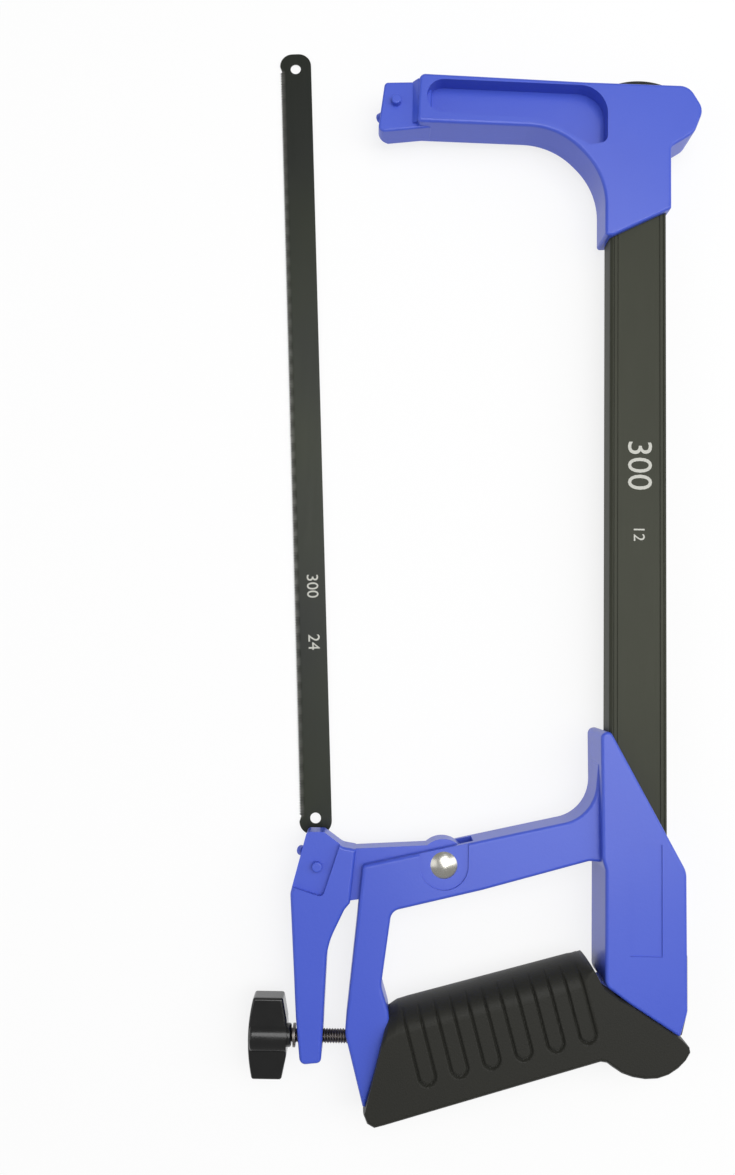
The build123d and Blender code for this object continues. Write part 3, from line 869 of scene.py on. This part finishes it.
# Metres and watts: name, place, target, size and power of each lamp.
LAMPS = (
    ("overhead_softbox", (0.20, 0.12, 1.10), (0.0, 0.0, 0.0), (1.0, 0.8), 8.6),
    ("left_softbox", (-0.95, -0.10, 0.60), (0.0, 0.0, 0.0), (0.7, 0.9), 1.6),
    ("right_softbox", (0.95, 0.10, 0.75), (0.0, 0.0, 0.0), (0.7, 0.9), 3.4),
)
AIR_LIGHT = 0.34
FLOOR_REACH = 12.0
FLOOR_DROP = 0.0004           # the floor lies this far under the saw
FLOOR_GLOW = 0.80             # share of the floor's look that is its own light
CAMERA_EYE = (-101.4, 79.0, 380.3)
CAMERA_AIM = (-101.8, 103.0, -12.0)
CAMERA_UP = (-0.01657, 1.0, 0.0)
CAMERA_LENS = 36.0 * 1000.0 / 1175.0


def floor_plane():
    mesh = bpy.data.meshes.new("studio_floor")
    signs = ((-1, -1), (1, -1), (1, 1), (-1, 1))
    corners = [(x * FLOOR_REACH, y * FLOOR_REACH, -FLOOR_DROP) for x, y in signs]
    mesh.from_pydata(corners, [], [(0, 1, 2, 3)])
    floor = bpy.data.objects.new("studio_floor", mesh)
    bpy.context.scene.collection.objects.link(floor)
    mesh.materials.append(floor_paper())


def floor_paper():
    """White paper: shows as white to the camera, and still takes the object's shadow."""
    recipe = Recipe("studio_paper")
    shade = settings().floor
    diffuse = recipe.node("ShaderNodeBsdfDiffuse", inputs={"Color": (*shade, 1.0)})
    white = {"Color": (1.0, 1.0, 1.0, 1.0), "Strength": 1.0}
    glow = recipe.node("ShaderNodeEmission", inputs=white)
    path = recipe.node("ShaderNodeLightPath")
    seen = recipe.wire(path, "Is Camera Ray") + recipe.wire(path, "Is Glossy Ray")
    seen = (seen + recipe.wire(path, "Is Transmission Ray")).clamp() * FLOOR_GLOW
    mix = recipe.node("ShaderNodeMixShader")
    recipe.feed(mix.inputs[0], seen)
    recipe.links.new(diffuse.outputs[0], mix.inputs[1])
    recipe.links.new(glow.outputs[0], mix.inputs[2])
    output = recipe.nodes["Material Output"]
    recipe.links.new(mix.outputs[0], output.inputs["Surface"])
    recipe.nodes.remove(recipe.shader)
    return recipe.material


def lamp(name, place_at, target, size, power):
    light = bpy.data.lights.new(name, "AREA")
    light.shape = "RECTANGLE"
    light.size, light.size_y = size
    light.energy = power
    holder = bpy.data.objects.new(name, light)
    holder.location = place_at
    direction = Vector(target) - Vector(place_at)
    holder.rotation_euler = direction.to_track_quat("-Z", "Y").to_euler()
    bpy.context.scene.collection.objects.link(holder)


def lamps():
    world = bpy.data.worlds.new("studio_air")
    world.use_nodes = True
    background = world.node_tree.nodes["Background"]
    background.inputs["Color"].default_value = (1.0, 1.0, 1.0, 1.0)
    background.inputs["Strength"].default_value = AIR_LIGHT
    bpy.context.scene.world = world
    for values in LAMPS:
        lamp(*values)


def camera():
    """Camera above the blade side, leaning a little towards the front arm."""
    view = bpy.data.cameras.new("studio_camera")
    view.lens = CAMERA_LENS
    view.sensor_width = 36.0
    view.clip_start = 0.01
    view.clip_end = 20.0
    holder = bpy.data.objects.new("studio_camera", view)
    eye = Vector(place(CAMERA_EYE))
    aim = Vector(place(CAMERA_AIM))
    forward = (aim - eye).normalized()
    side = forward.cross(Vector(CAMERA_UP)).normalized()
    up = side.cross(forward)
    turn = Matrix((side, up, -forward)).transposed().to_4x4()
    holder.matrix_world = Matrix.Translation(eye) @ turn
    bpy.context.scene.collection.objects.link(holder)
    bpy.context.scene.camera = holder


# ---- panel and registration ----------------------------------------------------------
PIECE_OPERATORS = (
    HACKSAW_OT_finishes,
    HACKSAW_OT_grip,
    HACKSAW_OT_blade,
    HACKSAW_OT_screw,
    HACKSAW_OT_marks,
    HACKSAW_OT_stage,
)


class HACKSAW_PT_panel(bpy.types.Panel):
    bl_idname = "HACKSAW_PT_panel"
    bl_label = "Hacksaw"
    bl_space_type = "VIEW_3D"
    bl_region_type = "UI"
    bl_category = "Hacksaw"

    def draw(self, context):
        for operator in PIECE_OPERATORS:
            self.layout.operator(operator.bl_idname)
        for group in ("hacksaw_grip", "hacksaw_blade", "hacksaw_screw", "hacksaw_finishes"):
            values = getattr(context.scene, group)
            box = self.layout.box()
            for key in values.__annotations__:
                box.prop(values, key)


GROUPS = {
    "hacksaw_grip": GripSizes,
    "hacksaw_blade": BladeSizes,
    "hacksaw_screw": ScrewSizes,
    "hacksaw_finishes": Finishes,
}


def register():
    for name, group in GROUPS.items():
        bpy.utils.register_class(group)
        setattr(bpy.types.Scene, name, bpy.props.PointerProperty(type=group))
    for item in PIECE_OPERATORS + (HACKSAW_PT_panel,):
        bpy.utils.register_class(item)


def unregister():
    for item in reversed(PIECE_OPERATORS + (HACKSAW_PT_panel,)):
        bpy.utils.unregister_class(item)
    for name, group in GROUPS.items():
        delattr(bpy.types.Scene, name)
        bpy.utils.unregister_class(group)


def main():
    register()
    for operator in PIECE_OPERATORS:
        group, action = operator.bl_idname.split(".")
        getattr(getattr(bpy.ops, group), action)()


if __name__ == "__main__":
    main()
